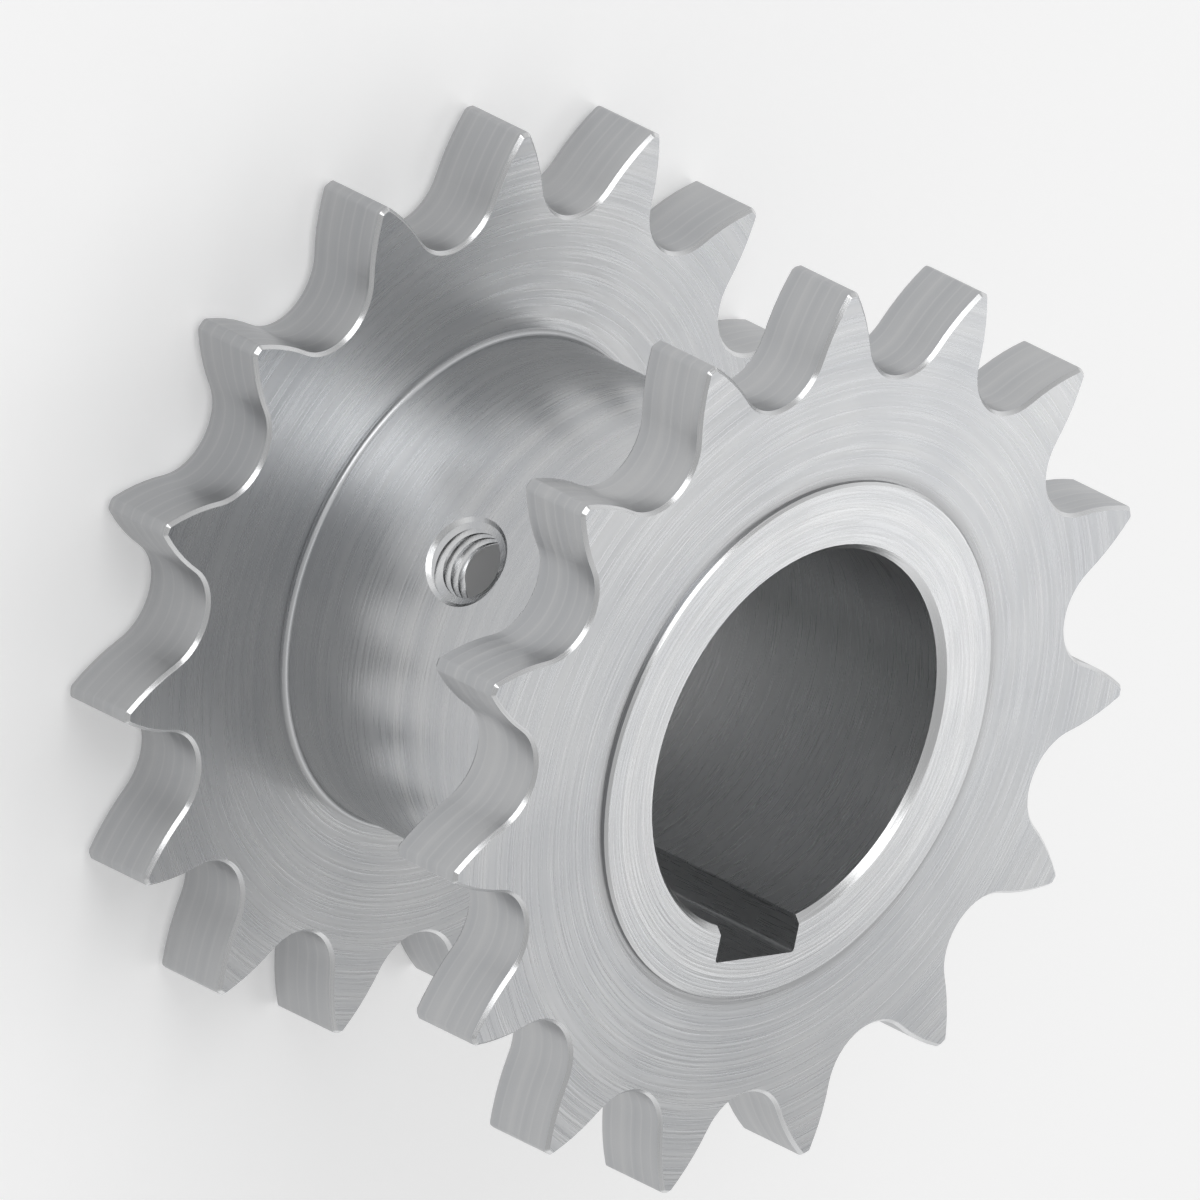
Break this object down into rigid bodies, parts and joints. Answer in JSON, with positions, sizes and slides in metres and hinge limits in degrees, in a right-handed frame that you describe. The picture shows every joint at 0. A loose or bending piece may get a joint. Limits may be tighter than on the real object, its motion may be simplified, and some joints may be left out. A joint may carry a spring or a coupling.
{
  "type": "double chain sprocket",
  "caption": "Double chain sprocket: matching toothed rims on a narrower common hub, with a keyed bore and a tapped set-screw hole, for single roller chains side by side.",
  "frame": {"origin": "on the bore's axis, in the plane of the lower end", "axes": "+Z along the bore, +X through the middle of one tooth of each rim, 6 degrees short of the keyway"},
  "size_m": [0.0663, 0.0666, 0.0384],
  "materials": {
    "steel": "turned and hobbed, satin"
  },
  "bodies": {
    "root": {"sprocket": "steel"}
  },
  "joints": []
}
